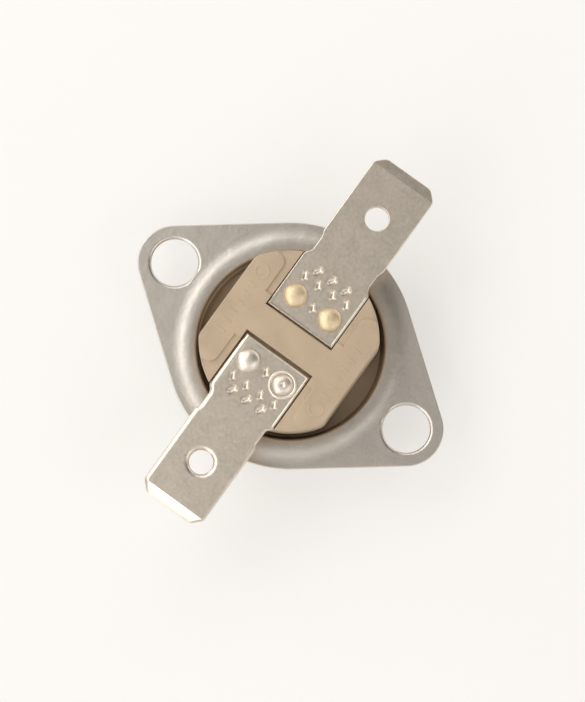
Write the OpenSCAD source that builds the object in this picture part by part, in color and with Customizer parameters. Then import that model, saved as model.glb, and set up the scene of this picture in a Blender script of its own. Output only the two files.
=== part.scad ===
// Snap-disc temperature switch: a flanged aluminium cup that holds a moulded switch body with two
// spade terminals. A dished disc on the cup floor snaps over when hot, lifts a pin, and the pin
// lifts a spring blade off its fixed contact.
// Millimetres, +Z up. The origin is the centre of the sensing face, +X runs along the blade's
// terminal and the mounting holes lie along Y.

/* [Flange and cup] */
// Distance between the two mounting holes
hole_spacing = 25.4; // [25:0.1:30]
// Diameter of each mounting hole
hole_d = 4.2; // [3.2:0.1:4.6]
// Radius of the flange's two ends
flange_end_r = 3.3; // [2.9:0.1:4.2]
// Flat left between the lip and the edge of the flange's middle
flange_rim = 2.1; // [1.4:0.05:2.6]
// Thickness of the drawn sheet
sheet_t = 0.5; // [0.4:0.05:0.8]
// Height of the flange's top above the sensing face
cup_depth = 6.4; // [6.2:0.1:8]
// Inside diameter of the cup
cup_bore = 16.7; // [16.3:0.1:17.9]
// Inside radius of the bend under the lip, where the wall turns out into the flange
lip_bend_r = 0.05; // [0.05:0.05:0.6]
// Outside radius round the sensing face
floor_r = 0.9; // [0.8:0.05:1.4]
// How far the crimp bead stands into the cup
crimp_in = 0.3; // [0.2:0.05:0.4]
// Radius of the crimp bead's section
crimp_r = 0.5; // [0.45:0.05:0.6]

/* [Switch body] */
// Width across the body's two flats
body_flats = 13.3; // [12.6:0.1:14]
// Radius where a flat meets the round
flat_corner_r = 1; // [0.5:0.1:1.5]
// Thickness of the body's base, up to the shoulder under the crimp
base_t = 1.2; // [1:0.1:1.4]
// Height of the rails above the flange's top
body_rise = 6.2; // [6:0.1:8]
// Length of each rail
rail_length = 11.3; // [9:0.1:12]
// Distance between the two rails
rail_gap = 8.3; // [8:0.1:9]
// Radius of the rails' inner corners
rail_corner_r = 0.8; // [0.4:0.1:1]
// Width of the web that joins the rails
web_w = 4.6; // [3.6:0.1:6]
// Width of the bar left between the two pockets
bar_w = 2.76; // [2.2:0.02:3]
// Depth of the shelves below the rails
shelf_drop = 0.25; // [0.1:0.05:0.5]
// Thickness of the roof between the pockets and the chamber
roof_t = 1.4; // [1.2:0.1:1.8]
// Diameter of the switch chamber
chamber_d = 13.2; // [13:0.1:13.6]
// Width of the switch chamber
chamber_w = 7; // [6.6:0.1:8]

/* [Terminals] */
// Width of the tab
tab_w = 6.35; // [6:0.05:6.6]
// Thickness of the terminal sheet
tab_t = 0.8; // [0.5:0.05:1]
// Distance of the tab's tip from the centre
tab_reach = 17.9; // [16.5:0.1:20]
// Depth of the terminal's top below the shelves
tab_sink = 0.05; // [0:0.01:0.2]
// Width of the riveted pad
pad_w = 6.85; // [6.6:0.05:7.4]
// Distance of the pad's outer end from the centre
pad_reach = 7.1; // [6.6:0.1:7.6]
// Width of the waist between pad and tab
waist_w = 5.95; // [5.4:0.05:6.2]
// Distance of the waist's outer end from the centre
waist_reach = 9.5; // [8.8:0.1:10.5]
// Radius of the pad's inner corners
pad_corner_r = 0.4; // [0.2:0.1:0.8]
// Diameter of the detent hole
detent_d = 2.1; // [1.6:0.05:2.4]
// Distance of the detent hole from the centre
detent_reach = 13.05; // [12:0.05:14]
// Length of the coined bevel at the tip
tip_bevel = 0.9; // [0.5:0.05:1.4]
// Thickness left at the tip
tip_t = 0.3; // [0.2:0.05:0.45]
// Size of the cut corners at the tip
tip_corner = 0.85; // [0.4:0.05:1.2]

/* [Rivets] */
// Distance of each pair of rivets from the centre
rivet_reach = 3.5; // [3.4:0.05:3.8]
// Distance between the two rivets of a pair
rivet_pitch = 3.66; // [3.4:0.02:3.8]
// Diameter of a rivet hole
rivet_hole_d = 1.4; // [1.2:0.05:1.6]
// Diameter of a domed head
dome_d = 2.15; // [1.8:0.05:2.3]
// Height of a domed head
dome_h = 0.45; // [0.3:0.05:0.6]
// Diameter of the rim spun out under the fourth head
spun_rim_d = 2.6; // [2.4:0.05:2.8]
// Thickness of that rim
spun_rim_t = 0.12; // [0.08:0.02:0.2]
// Diameter of the punched crater in the fourth head
crater_d = 0.8; // [0.5:0.05:1]
// Diameter of a head inside the chamber
inner_head_d = 2.2; // [2:0.05:2.4]
// Thickness of a head inside the chamber
inner_head_t = 0.4; // [0.3:0.05:0.5]

/* [Switch mechanism] */
// Thickness of the bimetal disc
disc_t = 0.25; // [0.2:0.05:0.3]
// Depth of the disc's dish
disc_dish = 0.3; // [0.2:0.05:0.4]
// Height of the pin guide from the cup floor to the body's base
guide_h = 2; // [1.9:0.05:2.2]
// Thickness of the guide's skirt
skirt_t = 0.75; // [0.6:0.05:1]
// Thickness of the guide's plate
guide_plate_t = 1; // [0.7:0.05:1.1]
// Diameter of the guide's boss
boss_d = 3.6; // [3:0.1:5]
// Height of the boss above the plate
boss_h = 1.6; // [1:0.1:2]
// Diameter of the transfer pin
pin_d = 1.8; // [1.4:0.1:2]
// Thickness of the spring blade
blade_t = 0.25; // [0.2:0.01:0.3]
// Drop from the chamber's ceiling to the top of the blade
blade_drop = 2.25; // [2:0.05:2.4]
// Width of the blade
blade_w = 2.6; // [2.2:0.1:3]
// Diameter of the blade's round end
blade_end_d = 3.2; // [3:0.1:3.6]
// Width of the tail clamped by the rivets
tail_w = 6; // [5.8:0.1:6.4]
// Outside radius of the blade's two bends
blade_bend_r = 0.5; // [0.4:0.05:0.6]
// Strip left beyond a rivet head or a contact
strip_edge = 0.3; // [0.2:0.05:0.4]
// Thickness of the contact carrier
carrier_t = 0.5; // [0.4:0.05:0.6]
// Outside radius of the carrier's two folds
carrier_bend_r = 0.9; // [0.8:0.05:1.2]
// Diameter of a contact
contact_d = 2.2; // [1.8:0.1:2.4]
// Thickness of a contact
contact_t = 0.5; // [0.4:0.05:0.6]
// Distance of the contacts from the centre
contact_reach = 2.9; // [2.7:0.05:3]

/* [Clearances] */
// Gap round the body in the mouth of the cup
ring_gap = 0.5; // [0.45:0.05:0.8]
// Radial gap of the body and the guide in the cup
cup_gap = 0.05; // [0.02:0.01:0.1]
// Radial gap of the pin in its guide
pin_gap = 0.04; // [0.02:0.01:0.08]
// Radial gap round the disc
disc_gap = 0.15; // [0.1:0.01:0.2]
// End play under the disc and at both ends of the pin
play = 0.03; // [0.02:0.01:0.05]
// Gap between a pad and the sides of its pocket
pad_side_gap = 0.075; // [0.05:0.005:0.15]
// Gap between a pad and the bar
pad_end_gap = 0.19; // [0.1:0.01:0.3]
// Radial gap of a rivet in its hole
rivet_gap = 0.02; // [0:0.01:0.05]
// Gap between the carrier's fold and the chamber wall
carrier_gap = 0.1; // [0.05:0.01:0.2]

/* [Hidden] */
$fn = 96;

// How far a cutting shape runs past the face it opens
past = 1;
// How far an arc overshoots the face it blends into, so that the two cross
cross_over = 0.005;
// Facets of the disc's wide, shallow curve
wide_fn = 720;

cup_in_r = cup_bore / 2;
cup_out_r = cup_in_r + sheet_t;
lip_r = lip_bend_r + sheet_t;
lip_z = cup_depth - lip_r;
lip_end_r = cup_in_r + lip_r;
flange_r = lip_end_r + flange_rim;
seat_r = cup_in_r - cup_gap;
skirt_r = seat_r - skirt_t;
disc_r = skirt_r - disc_gap;

floor_z = sheet_t;
base_z = floor_z + guide_h;
shoulder_z = base_z + base_t;
crimp_z = shoulder_z + crimp_r;
crimp_x = cup_in_r + crimp_r - crimp_in;

rail_z = cup_depth + body_rise;
shelf_z = rail_z - shelf_drop;
tab_top_z = shelf_z - tab_sink;
pocket_z = tab_top_z - tab_t;
ceiling_z = pocket_z - roof_t;

body_r = cup_in_r - ring_gap;
pocket_w = pad_w + 2 * pad_side_gap;
pad_start = bar_w / 2 + pad_end_gap;
rivet_r = rivet_hole_d / 2 - rivet_gap;

blade_z = ceiling_z - blade_drop - blade_t;
clamp_x = rivet_reach - inner_head_d / 2;
tail_end = rivet_reach + inner_head_d / 2 + strip_edge;
contact_z = blade_z - contact_t;
carrier_z = contact_z - contact_t - carrier_t;
carrier_fold = sqrt(pow(chamber_d / 2, 2) - pow(tail_w / 2, 2)) - carrier_gap;
carrier_end = contact_reach - contact_d / 2 - strip_edge;

disc_z = floor_z + play;
pin_foot_z = disc_z + disc_t + play;
pin_top_z = blade_z - play;

// A quarter disc in the first quadrant
module quarter_disc(r)
    intersection() {
        circle(r);
        square(r + past);
    }

// A quarter of a ring of sheet in the first quadrant, bent about the origin
module sheet_bend(outer_r, thickness)
    difference() {
        quarter_disc(outer_r);
        circle(outer_r - thickness);
    }

// What is cut off a square corner at the origin to round it; the shape lies at +X and +Y
module corner_cut(r)
    difference() {
        translate([-past, -past]) square(r + past);
        translate([r, r]) circle(r + cross_over);
    }

// A spherical cap's half section, standing on the X axis
module cap_section(d, h) {
    cap_r = (d * d / 4 + h * h) / (2 * h);
    intersection() {
        translate([0, h - cap_r]) circle(cap_r);
        square([d, h]);
    }
}

// The children once in each quadrant
module in_quadrants()
    for (sx = [0, 1], sy = [0, 1])
        mirror([sx, 0]) mirror([0, sy]) children();

module rivet_pair()
    for (side = [-1, 1])
        translate([rivet_reach, side * rivet_pitch / 2]) children();

// Flange outline: a middle disc and two end discs joined by straight sides
module flange_outline() {
    lean = asin((flange_r - flange_end_r) / (hole_spacing / 2));
    way = [cos(lean), sin(lean)];
    near = (flange_r - cross_over) * way;
    far = [0, hole_spacing / 2] + (flange_end_r - cross_over) * way;
    circle(flange_r);
    for (side = [-1, 1])
        translate([0, side * hole_spacing / 2]) circle(flange_end_r);
    polygon([
        near, far, [-far.x, far.y], [-near.x, near.y],
        -near, -far, [far.x, -far.y], [near.x, -near.y]
    ]);
}

// Section of the drawn sheet from the sensing face up the wall and over the lip
module cup_section()
    difference() {
        union() {
            square([cup_out_r - floor_r, sheet_t]);
            translate([cup_out_r - floor_r, floor_r])
                mirror([0, 1]) sheet_bend(floor_r, sheet_t);
            translate([cup_in_r, floor_r]) square([sheet_t, lip_z - floor_r]);
            translate([lip_end_r, lip_z])
                mirror([1, 0]) sheet_bend(lip_r, sheet_t);
            translate([crimp_x, crimp_z]) circle(crimp_r);
        }
        translate([crimp_x + sheet_t, crimp_z]) circle(crimp_r);
    }

module flanged_cup()
    color("#B9B2A8") {
        rotate_extrude() cup_section();
        translate([0, 0, cup_depth - sheet_t])
            linear_extrude(sheet_t)
                difference() {
                    flange_outline();
                    circle(lip_end_r);
                    for (side = [-1, 1])
                        translate([0, side * hole_spacing / 2]) circle(hole_d / 2);
                }
    }

// What is cut off where a flat meets the round, leaving a rounded corner
module flat_corner_cut() {
    inset_r = body_r - flat_corner_r;
    corner_y = body_flats / 2 - flat_corner_r;
    corner = [sqrt(inset_r * inset_r - corner_y * corner_y), corner_y];
    outward = past * corner / inset_r;
    upward = [0, past];
    reach = 2 * flat_corner_r;
    difference() {
        polygon([
            corner, corner + reach * upward, corner + reach * (upward + outward),
            corner + reach * outward
        ]);
        translate(corner) circle(flat_corner_r + cross_over);
    }
}

module body_outline()
    difference() {
        intersection() {
            circle(body_r);
            square([2 * body_r + past, body_flats], center = true);
        }
        in_quadrants() flat_corner_cut();
    }

// The raised H: two rails with rounded inner corners, joined by the web
module raised_outline() {
    rail_depth = body_flats / 2 - rail_gap / 2 + past;
    square([web_w, rail_gap + 2 * rail_corner_r], center = true);
    for (side = [0, 1])
        mirror([0, side])
            translate([0, rail_gap / 2])
                difference() {
                    translate([-rail_length / 2, 0]) square([rail_length, rail_depth]);
                    for (end = [0, 1])
                        mirror([end, 0])
                            translate([-rail_length / 2, 0]) corner_cut(rail_corner_r);
                }
}

module chamber_outline()
    intersection() {
        circle(chamber_d / 2);
        square([chamber_d + past, chamber_w], center = true);
    }

module body()
    color("#BBA588")
        difference() {
            union() {
                translate([0, 0, base_z]) cylinder(r = seat_r, h = base_t);
                translate([0, 0, base_z])
                    linear_extrude(rail_z - base_z) body_outline();
            }
            translate([0, 0, shelf_z])
                linear_extrude(shelf_drop + past)
                    difference() {
                        square(2 * (body_r + past), center = true);
                        raised_outline();
                    }
            for (turn = [0, 180])
                rotate(turn) {
                    translate([bar_w / 2, -pocket_w / 2, pocket_z])
                        cube([body_r, pocket_w, rail_z - pocket_z + past]);
                    translate([0, 0, ceiling_z - past])
                        rivet_pair() cylinder(d = rivet_hole_d, h = roof_t + 2 * past);
                }
            translate([0, 0, base_z - past])
                linear_extrude(ceiling_z - base_z + past) chamber_outline();
        }

// Terminal seen from above: pad with round inner corners, waist, tab with cut corners
module terminal_outline() {
    pad_step = (pad_w - waist_w) / 2;
    tab_step = tab_w - waist_w;
    side = [
        [pad_start, pad_w / 2],
        [pad_reach, pad_w / 2],
        [pad_reach + pad_step, waist_w / 2],
        [waist_reach - tab_step, waist_w / 2],
        [waist_reach, tab_w / 2],
        [tab_reach - tip_corner, tab_w / 2],
        [tab_reach, tab_w / 2 - tip_corner]
    ];
    last = len(side) - 1;
    difference() {
        polygon(concat(side, [for (i = [0 : last]) [side[last - i].x, -side[last - i].y]]));
        for (end = [0, 1])
            mirror([0, end])
                translate([pad_start, -pad_w / 2]) corner_cut(pad_corner_r);
    }
}

// Terminal seen from the side: flat sheet coined thin at the tip
module terminal_side() {
    coin = (tab_t - tip_t) / 2;
    polygon([
        [0, 0], [tab_reach - tip_bevel, 0], [tab_reach, coin],
        [tab_reach, tab_t - coin], [tab_reach - tip_bevel, tab_t], [0, tab_t]
    ]);
}

module terminal()
    color("#AFA497")
        translate([0, 0, pocket_z])
            difference() {
                intersection() {
                    linear_extrude(tab_t) terminal_outline();
                    rotate([90, 0, 0])
                        linear_extrude(pad_w + past, center = true) terminal_side();
                }
                translate([detent_reach, 0, -past])
                    cylinder(d = detent_d, h = tab_t + 2 * past);
                translate([0, 0, -past])
                    rivet_pair() cylinder(d = rivet_hole_d, h = tab_t + 2 * past);
            }

module arm_terminal() terminal();

module contact_terminal() rotate(180) terminal();

// Half section of a rivet's shank and inner head; its outer head stands on the terminal's top
module rivet_section(strip_t) {
    grip = tab_t + roof_t + strip_t;
    translate([0, -grip]) square([rivet_r, grip]);
    translate([0, -grip - inner_head_t]) square([inner_head_d / 2, inner_head_t]);
}

// Half section of the spun head: a dome with a punched crater, on a thin rim
module spun_section()
    difference() {
        union() {
            square([spun_rim_d / 2, spun_rim_t]);
            translate([0, spun_rim_t]) cap_section(dome_d, dome_h);
        }
        translate([0, spun_rim_t + dome_h]) circle(d = crater_d);
    }

module arm_rivets()
    color("#D8C48E")
        translate([0, 0, tab_top_z])
            rivet_pair()
                rotate_extrude() {
                    cap_section(dome_d, dome_h);
                    rivet_section(blade_t);
                }

module carrier_rivet()
    color("#EFE8DC")
        translate([-rivet_reach, rivet_pitch / 2, tab_top_z])
            rotate_extrude() {
                cap_section(dome_d, dome_h);
                rivet_section(carrier_t);
            }

module carrier_rivet_spun()
    color("#EFE8DC")
        translate([-rivet_reach, -rivet_pitch / 2, tab_top_z])
            rotate_extrude() {
                spun_section();
                rivet_section(carrier_t);
            }

// Dished disc: the shell between two spheres, its middle resting just over the cup floor
module bimetal_disc() {
    dish_r = (disc_r * disc_r + disc_dish * disc_dish) / (2 * disc_dish);
    color("#C9BE9F")
        translate([0, 0, disc_z])
            rotate_extrude()
                intersection() {
                    translate([0, dish_r])
                        difference() {
                            circle(dish_r, $fn = wide_fn);
                            circle(dish_r - disc_t, $fn = wide_fn);
                        }
                    square([disc_r, disc_dish + 2 * disc_t]);
                }
}

// Guide plate with a skirt that stands on the cup floor round the disc, and a boss round the pin
module pin_guide() {
    bore_r = pin_d / 2 + pin_gap;
    edge = floor_r - sheet_t + cup_gap;
    plate_z = base_z - guide_plate_t;
    color("#8C7A66")
        rotate_extrude()
            polygon([
                [bore_r, plate_z], [skirt_r, plate_z], [skirt_r, floor_z],
                [seat_r - edge, floor_z], [seat_r, floor_z + edge], [seat_r, base_z],
                [boss_d / 2, base_z], [boss_d / 2, base_z + boss_h], [bore_r, base_z + boss_h]
            ]);
}

// Pin with two round ends
module transfer_pin() {
    pin_r = pin_d / 2;
    color("#F1EEE6")
        rotate_extrude() {
            translate([0, pin_foot_z + pin_r])
                square([pin_r, pin_top_z - pin_foot_z - pin_d]);
            translate([0, pin_top_z - pin_r]) quarter_disc(pin_r);
            translate([0, pin_foot_z + pin_r])
                mirror([0, 1]) quarter_disc(pin_r);
        }
}

// Spring blade seen from the side: tail along the ceiling, step down, blade over the contacts
module blade_side() {
    inner_r = blade_bend_r - blade_t;
    step_x = clamp_x - blade_bend_r;
    translate([clamp_x, ceiling_z - blade_t]) square([tail_end - clamp_x, blade_t]);
    translate([clamp_x, ceiling_z - blade_bend_r])
        mirror([1, 0]) sheet_bend(blade_bend_r, blade_t);
    translate([step_x, blade_z + blade_bend_r])
        square([blade_t, ceiling_z - blade_z - 2 * blade_bend_r]);
    translate([step_x - inner_r, blade_z + blade_bend_r])
        mirror([0, 1]) sheet_bend(blade_bend_r, blade_t);
    translate([-contact_reach - blade_end_d / 2, blade_z])
        square([contact_reach + blade_end_d / 2 + step_x - inner_r, blade_t]);
}

module blade_outline() {
    translate([clamp_x - blade_bend_r, -tail_w / 2])
        square([tail_end - clamp_x + blade_bend_r, tail_w]);
    translate([-contact_reach, -blade_w / 2])
        square([contact_reach + clamp_x, blade_w]);
    translate([-contact_reach, 0]) circle(d = blade_end_d);
}

module contact_arm()
    color("#C58F4E")
        difference() {
            intersection() {
                rotate([90, 0, 0])
                    linear_extrude(tail_w + past, center = true) blade_side();
                translate([0, 0, blade_z - past])
                    linear_extrude(ceiling_z - blade_z + 2 * past) blade_outline();
            }
            translate([0, 0, ceiling_z - blade_t - past])
                rivet_pair() cylinder(d = rivet_hole_d, h = blade_t + 2 * past);
        }

// Contact button with a bevelled face; the face is at the top
module contact_button() {
    bevel = contact_t / 4;
    color("#E4E2DC")
        rotate_extrude()
            polygon([
                [0, 0], [contact_d / 2, 0], [contact_d / 2, contact_t - bevel],
                [contact_d / 2 - bevel, contact_t], [0, contact_t]
            ]);
}

module moving_contact()
    translate([-contact_reach, 0, blade_z]) mirror([0, 0, 1]) contact_button();

module fixed_contact()
    translate([-contact_reach, 0, contact_z - contact_t]) contact_button();

// Contact carrier seen from the side: a strip folded under the blade's end
module carrier_side() {
    leg_x = carrier_bend_r - carrier_fold;
    translate([leg_x, ceiling_z - carrier_t])
        square([-leg_x - rivet_reach + inner_head_d / 2, carrier_t]);
    translate([leg_x, ceiling_z - carrier_bend_r])
        mirror([1, 0]) sheet_bend(carrier_bend_r, carrier_t);
    translate([-carrier_fold, carrier_z + carrier_bend_r])
        square([carrier_t, ceiling_z - carrier_z - 2 * carrier_bend_r]);
    translate([leg_x, carrier_z + carrier_bend_r])
        rotate(180) sheet_bend(carrier_bend_r, carrier_t);
    translate([leg_x, carrier_z]) square([-leg_x - carrier_end, carrier_t]);
}

module contact_carrier()
    color("#C9AE6B")
        difference() {
            rotate([90, 0, 0])
                linear_extrude(tail_w, center = true) carrier_side();
            translate([0, 0, ceiling_z - carrier_t - past])
                rotate(180)
                    rivet_pair() cylinder(d = rivet_hole_d, h = carrier_t + 2 * past);
        }

flanged_cup();
body();
arm_terminal();
contact_terminal();
arm_rivets();
carrier_rivet();
carrier_rivet_spun();
bimetal_disc();
pin_guide();
transfer_pin();
contact_arm();
moving_contact();
contact_carrier();
fixed_contact();
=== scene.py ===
"""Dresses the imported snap-disc temperature switch: fine meshes for the pieces that show, a finish for
every piece, and a small studio. Lengths are in metres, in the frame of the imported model."""

import math
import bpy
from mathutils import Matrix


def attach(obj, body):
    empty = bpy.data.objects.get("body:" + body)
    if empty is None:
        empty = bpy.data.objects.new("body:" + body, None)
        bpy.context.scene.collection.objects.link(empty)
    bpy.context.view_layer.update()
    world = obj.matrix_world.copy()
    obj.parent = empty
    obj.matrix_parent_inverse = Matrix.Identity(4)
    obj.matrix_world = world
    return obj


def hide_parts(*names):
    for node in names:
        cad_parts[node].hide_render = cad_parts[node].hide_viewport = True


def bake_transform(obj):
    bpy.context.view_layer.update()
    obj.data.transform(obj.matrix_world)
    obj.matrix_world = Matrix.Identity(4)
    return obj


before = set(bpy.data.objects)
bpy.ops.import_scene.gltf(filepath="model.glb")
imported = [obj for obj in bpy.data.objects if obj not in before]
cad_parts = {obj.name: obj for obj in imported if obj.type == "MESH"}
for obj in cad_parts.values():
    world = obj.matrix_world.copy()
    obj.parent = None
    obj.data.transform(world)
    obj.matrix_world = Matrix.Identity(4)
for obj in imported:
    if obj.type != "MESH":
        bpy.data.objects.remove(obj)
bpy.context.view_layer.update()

from types import SimpleNamespace

import bmesh
import bpy
from bpy.props import FloatProperty, FloatVectorProperty, PointerProperty
from mathutils import Matrix, Vector

bl_info = {
    "name": "Snap-disc Temperature Switch",
    "version": (1, 0, 0),
    "blender": (4, 5, 0),
    "location": "3D View > Sidebar > Switch",
    "description": "Models and finishes a flanged snap-disc switch with two spade terminals",
    "category": "Add Mesh",
}

MM = 0.001
TURN = 2 * math.pi
# The X-Z plane, in which the sections of round pieces are drawn
SECTION = Matrix.Rotation(math.pi / 2, 4, "X")
# Steps of a whole turn on the cup and the body, on holes and heads, and on the small marks
WIDE_STEPS = 192
HOLE_STEPS = 64
MARK_STEPS = 20
# Steps of each arc in the flange's outline and the cup's section, and in the body's two outlines
CUP_STEPS = SimpleNamespace(middle=40, end=32, floor=8, bead=14, lip=12, crest=10, sweep=8)
BODY_STEPS = SimpleNamespace(side=64, corner=8, chamber=32)
# Steps of a rounded edge, a soft moulded edge, a stamped corner, a mark's bowl and a rivet's dome
EDGE_STEPS = 8
SOFT_STEPS = 3
CORNER_STEPS = 6
BOWL_STEPS = 8
DOME_STEPS = 10

# Lengths from here on are in millimetres, in which the meshes are drawn
# Points closer than this are one point, and corners of a CAD mesh closer than the second are one
SAME = 0.0005
WELD = 0.0002
# How far inside a circle the chords that stand for it may lie
CHORD = 0.05
# Flat strip kept beside a rounded edge, so that the flat beyond it shades flat
STRIP = 0.04
# Depth of an edge rolled by the die, as a share of its width
ROLL_DEPTH = 0.6
# How far inwards a raised rim falls away to the flat, and the power by which it rises along the
# pad from the inner end
RIM_REACH = 0.2
RIM_RISE = 4
# Punched marks: each row's distance from the centre, turn and places across, and the straight
# length of a mark
MARK_ROWS = (
    (3.45, 0.6, (0,)),
    (5.35, 0.5, (-2.2, -0.75, 0.75, 2.2)),
    (6.35, -0.6, (-1.5, 0, 1.5)),
)
MARK_LENGTH = 0.3
# Raised marks along a rail: a ring and six ticks, and the width of a step and of the flat on the ring
RING_PLACE = 3.5
RING_RADIUS = 0.75
TICK_PLACES = [2.1 - 0.95 * i for i in range(6)]
TICK_LENGTH = 0.7
TICK_RADIUS = 0.13
RELIEF_STEP = 0.04
RING_FLAT = 0.1
# A spun head is this much narrower and lower than a domed one
SPUN_SHARE = 0.9
# Faces that turn less than the first angle are one flat, and edges that turn more than the second
# are sharp
ONE_FLAT = math.radians(0.2)
SHARP_EDGE = math.radians(40)
# How far the grain takes a metal's roughness either way
GLOSS_SWING = 0.02
# Share of the table that shows its own colour, whatever light falls on it, and its gap to the switch
TABLE_GLOW = 0.5
TABLE_GAP = 0.02


def linear(code):
    """Linear RGB of an sRGB hex colour."""
    parts = [int(code[i:i + 2], 16) / 255 for i in (1, 3, 5)]
    return [p / 12.92 if p <= 0.04045 else ((p + 0.055) / 1.055) ** 2.4 for p in parts]


def length(name, description, mm):
    """A length property with its default in millimetres."""
    return FloatProperty(
        name=name, description=description, default=mm * MM, min=0, precision=5, unit="LENGTH"
    )


def colour(name, description, code):
    """A colour property with its default as an sRGB hex value."""
    return FloatVectorProperty(
        name=name, description=description, default=linear(code), min=0, max=1, subtype="COLOR"
    )


class CupSizes(bpy.types.PropertyGroup):
    """Sizes of the drawn cup and its flange."""

    bore: length("Bore radius", "Inside radius of the cup", 8.35)
    sheet: length("Sheet", "Thickness of the drawn sheet", 0.5)
    depth: length("Depth", "Height of the flange's top above the sensing face", 6.4)
    lip: length("Lip radius", "Radius that rolls from the flange into the cup", 0.25)
    bend: length("Bend radius", "Inside radius of the bend under the lip", 0.05)
    floor: length("Floor radius", "Outside radius round the sensing face", 0.9)
    bead: length("Bead radius", "Radius of the crimp bead's section", 0.5)
    bead_height: length("Bead height", "Height of the crimp bead's middle", 4.2)
    bead_depth: length("Bead depth", "How far the crimp bead stands into the cup", 0.3)
    middle: length("Middle radius", "Radius of the flange's middle", 11.0)
    end: length("End radius", "Radius of the flange's two ends", 3.3)
    reach: length("Hole reach", "Distance of each mounting hole from the centre", 12.7)
    hole: length("Hole radius", "Radius of each mounting hole", 2.1)
    roll: length("Edge roll", "Rounding of the blanked edge on top", 0.08)
    hole_roll: length("Hole roll", "Width of the rounding of the pierced holes on top", 0.3)
    crest: length("Crest", "Distance of the lip's highest circle from the centre", 8.95)
    crest_bend: length("Crest radius", "Radius of the section over that circle", 4.8)
    sweep: length("Lip sweep", "Radius that carries the flange up to the lip", 6.4)
    pull: FloatProperty(
        name="Pull", description="How much further the lip's fall reaches on the flange's narrow sides",
        default=0.22, min=0, subtype="FACTOR",
    )
    lean: FloatProperty(
        name="Lip lean", description="How far the flange leans outwards at the lip",
        default=math.radians(8), min=0, subtype="ANGLE",
    )


class BodySizes(bpy.types.PropertyGroup):
    """Sizes of the moulded body."""

    radius: length("Radius", "Radius of the body", 7.85)
    flats: length("Flats", "Half the width across the two flats", 6.65)
    corner: length("Corner", "Radius where a flat meets the round", 1.0)
    seat: length("Seat radius", "Radius of the base under the crimp bead", 8.3)
    foot: length("Foot", "Height of the base's underside", 2.5)
    shoulder: length("Shoulder", "Height of the base's top", 3.7)
    ceiling: length("Ceiling", "Height of the switch chamber's ceiling", 10.1)
    pocket: length("Pocket floor", "Height of the two pockets' floors", 11.5)
    shelf: length("Shelf", "Height of the shelves beside the pockets", 12.35)
    rail: length("Rail", "Height of the rails", 12.6)
    bar: length("Bar", "Half the width of the bar between the pockets", 1.38)
    web: length("Web", "Half the width of the web that joins the rails", 2.3)
    pocket_side: length("Pocket side", "Half the width of a pocket", 3.5)
    rail_side: length("Rail side", "Half the distance between the rails", 4.15)
    rail_end: length("Rail end", "Half the length of a rail", 5.65)
    rail_corner: length("Rail corner", "Radius of a rail's inner corners", 0.8)
    chamber: length("Chamber radius", "Radius of the switch chamber", 6.6)
    chamber_side: length("Chamber side", "Half the width of the switch chamber", 3.5)
    soft: length("Soft edge", "Rounding of the moulded edges", 0.1)
    relief: length("Relief", "Height of the raised marks on the rails", 0.05)


class TerminalSizes(bpy.types.PropertyGroup):
    """Sizes of the two spade terminals."""

    top: length("Top", "Height of the terminal's top", 12.3)
    sheet: length("Sheet", "Thickness of the terminal's sheet", 0.8)
    start: length("Pad start", "Distance of the pad's inner end from the centre", 1.57)
    pad: length("Pad", "Half the width of the riveted pad", 3.425)
    corner: length("Corner", "Rounding of the pad's outer and the tab's cut corners", 0.28)
    step_corner: length("Step corner", "Rounding of the step from waist to tab", 0.2)
    pad_end: length("Pad end", "Distance of the pad's outer end from the centre", 7.1)
    waist: length("Waist", "Half the width of the waist", 2.975)
    waist_end: length("Waist end", "Distance of the waist's outer end from the centre", 9.5)
    tab: length("Tab", "Half the width of the tab", 3.175)
    tip: length("Tip", "Distance of the tip from the centre", 17.9)
    cut: length("Cut corner", "Size of the cut corners at the tip", 0.85)
    bevel: length("Bevel", "Length of the coined bevel at the tip", 0.9)
    tip_sheet: length("Tip sheet", "Thickness left at the tip", 0.3)
    detent: length("Detent", "Radius of the detent hole", 1.05)
    detent_reach: length("Detent reach", "Distance of the detent hole from the centre", 13.05)
    roll: length("Rolled edge", "Width of the rounding on edges that face the blanking die", 0.42)
    plain: length("Plain edge", "Rounding of the other edges", 0.08)
    rim: length("Pad rim", "Height of the rim that riveting raises round a pad", 0.04)
    rolled_rim: length("Rolled pad rim", "Height of that rim on the pad with rolled edges", 0.075)
    mark: length("Mark depth", "Depth of the punched marks", 0.24)
    mark_width: length("Mark width", "Width of the punched marks", 0.8)


class RivetSizes(bpy.types.PropertyGroup):
    """Sizes of the four rivets."""

    reach: length("Reach", "Distance of the rivets from the centre", 3.5)
    spread: length("Spread", "Half the distance between the rivets of a pair", 1.83)
    hole: length("Hole radius", "Radius of a rivet hole", 0.7)
    shank: length("Shank radius", "Radius of a rivet's shank", 0.68)
    head: length("Head radius", "Radius of a domed head", 1.075)
    rise: length("Head rise", "Height of a domed head", 0.45)
    rim: length("Rim radius", "Radius of the rim spun out under the fourth head", 1.3)
    rim_sheet: length("Rim thickness", "Thickness of that rim", 0.12)
    crater: length("Crater radius", "Radius of the punched crater in the fourth head", 0.32)
    tail: length("Tail radius", "Radius of a head inside the chamber", 1.1)
    tail_sheet: length("Tail thickness", "Thickness of a head inside the chamber", 0.4)
    blade: length("Blade", "Thickness of the spring blade that the brass rivets clamp", 0.25)
    carrier: length("Carrier", "Thickness of the strip that the plated rivets clamp", 0.5)


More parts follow.
